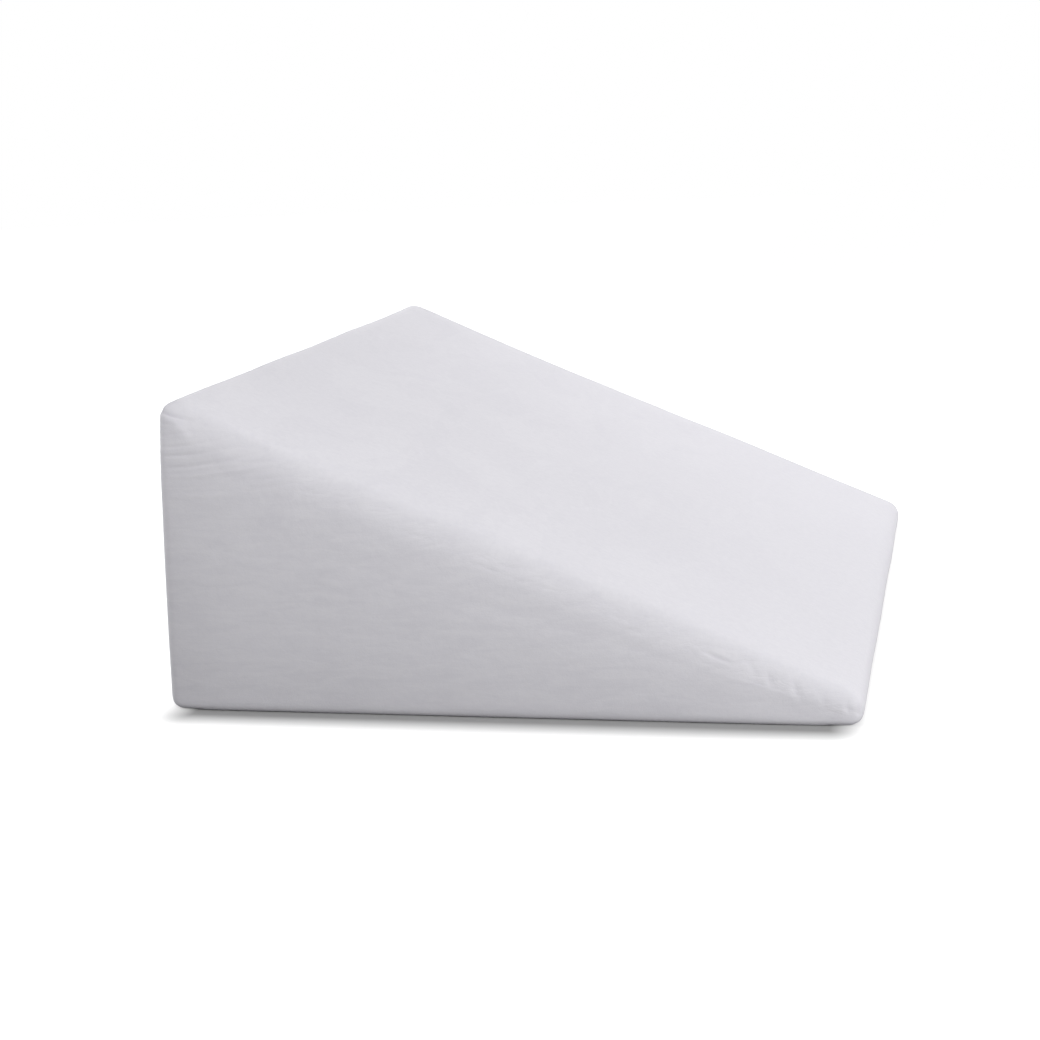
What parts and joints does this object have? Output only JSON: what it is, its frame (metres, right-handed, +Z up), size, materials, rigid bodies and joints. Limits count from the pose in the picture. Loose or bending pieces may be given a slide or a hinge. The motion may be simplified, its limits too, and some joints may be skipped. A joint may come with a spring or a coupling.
{
  "type": "wedge pillow",
  "caption": "Wide foam wedge pillow in a close-fitting, short-napped pale cover, with soft rolled edges and gathers below the tall top corners.",
  "frame": {"origin": "middle of the flat underside", "axes": "+X down the slope, from the tall end to the thin end; +Y across the width; +Z up, with the pillow resting on its underside"},
  "size_m": [0.6614, 0.914, 0.2976],
  "materials": {
    "cover_cloth": "matte, short soft nap, pale grey with a faint lilac cast"
  },
  "bodies": {
    "root": {"wedge_pillow": "cover_cloth"}
  },
  "joints": []
}
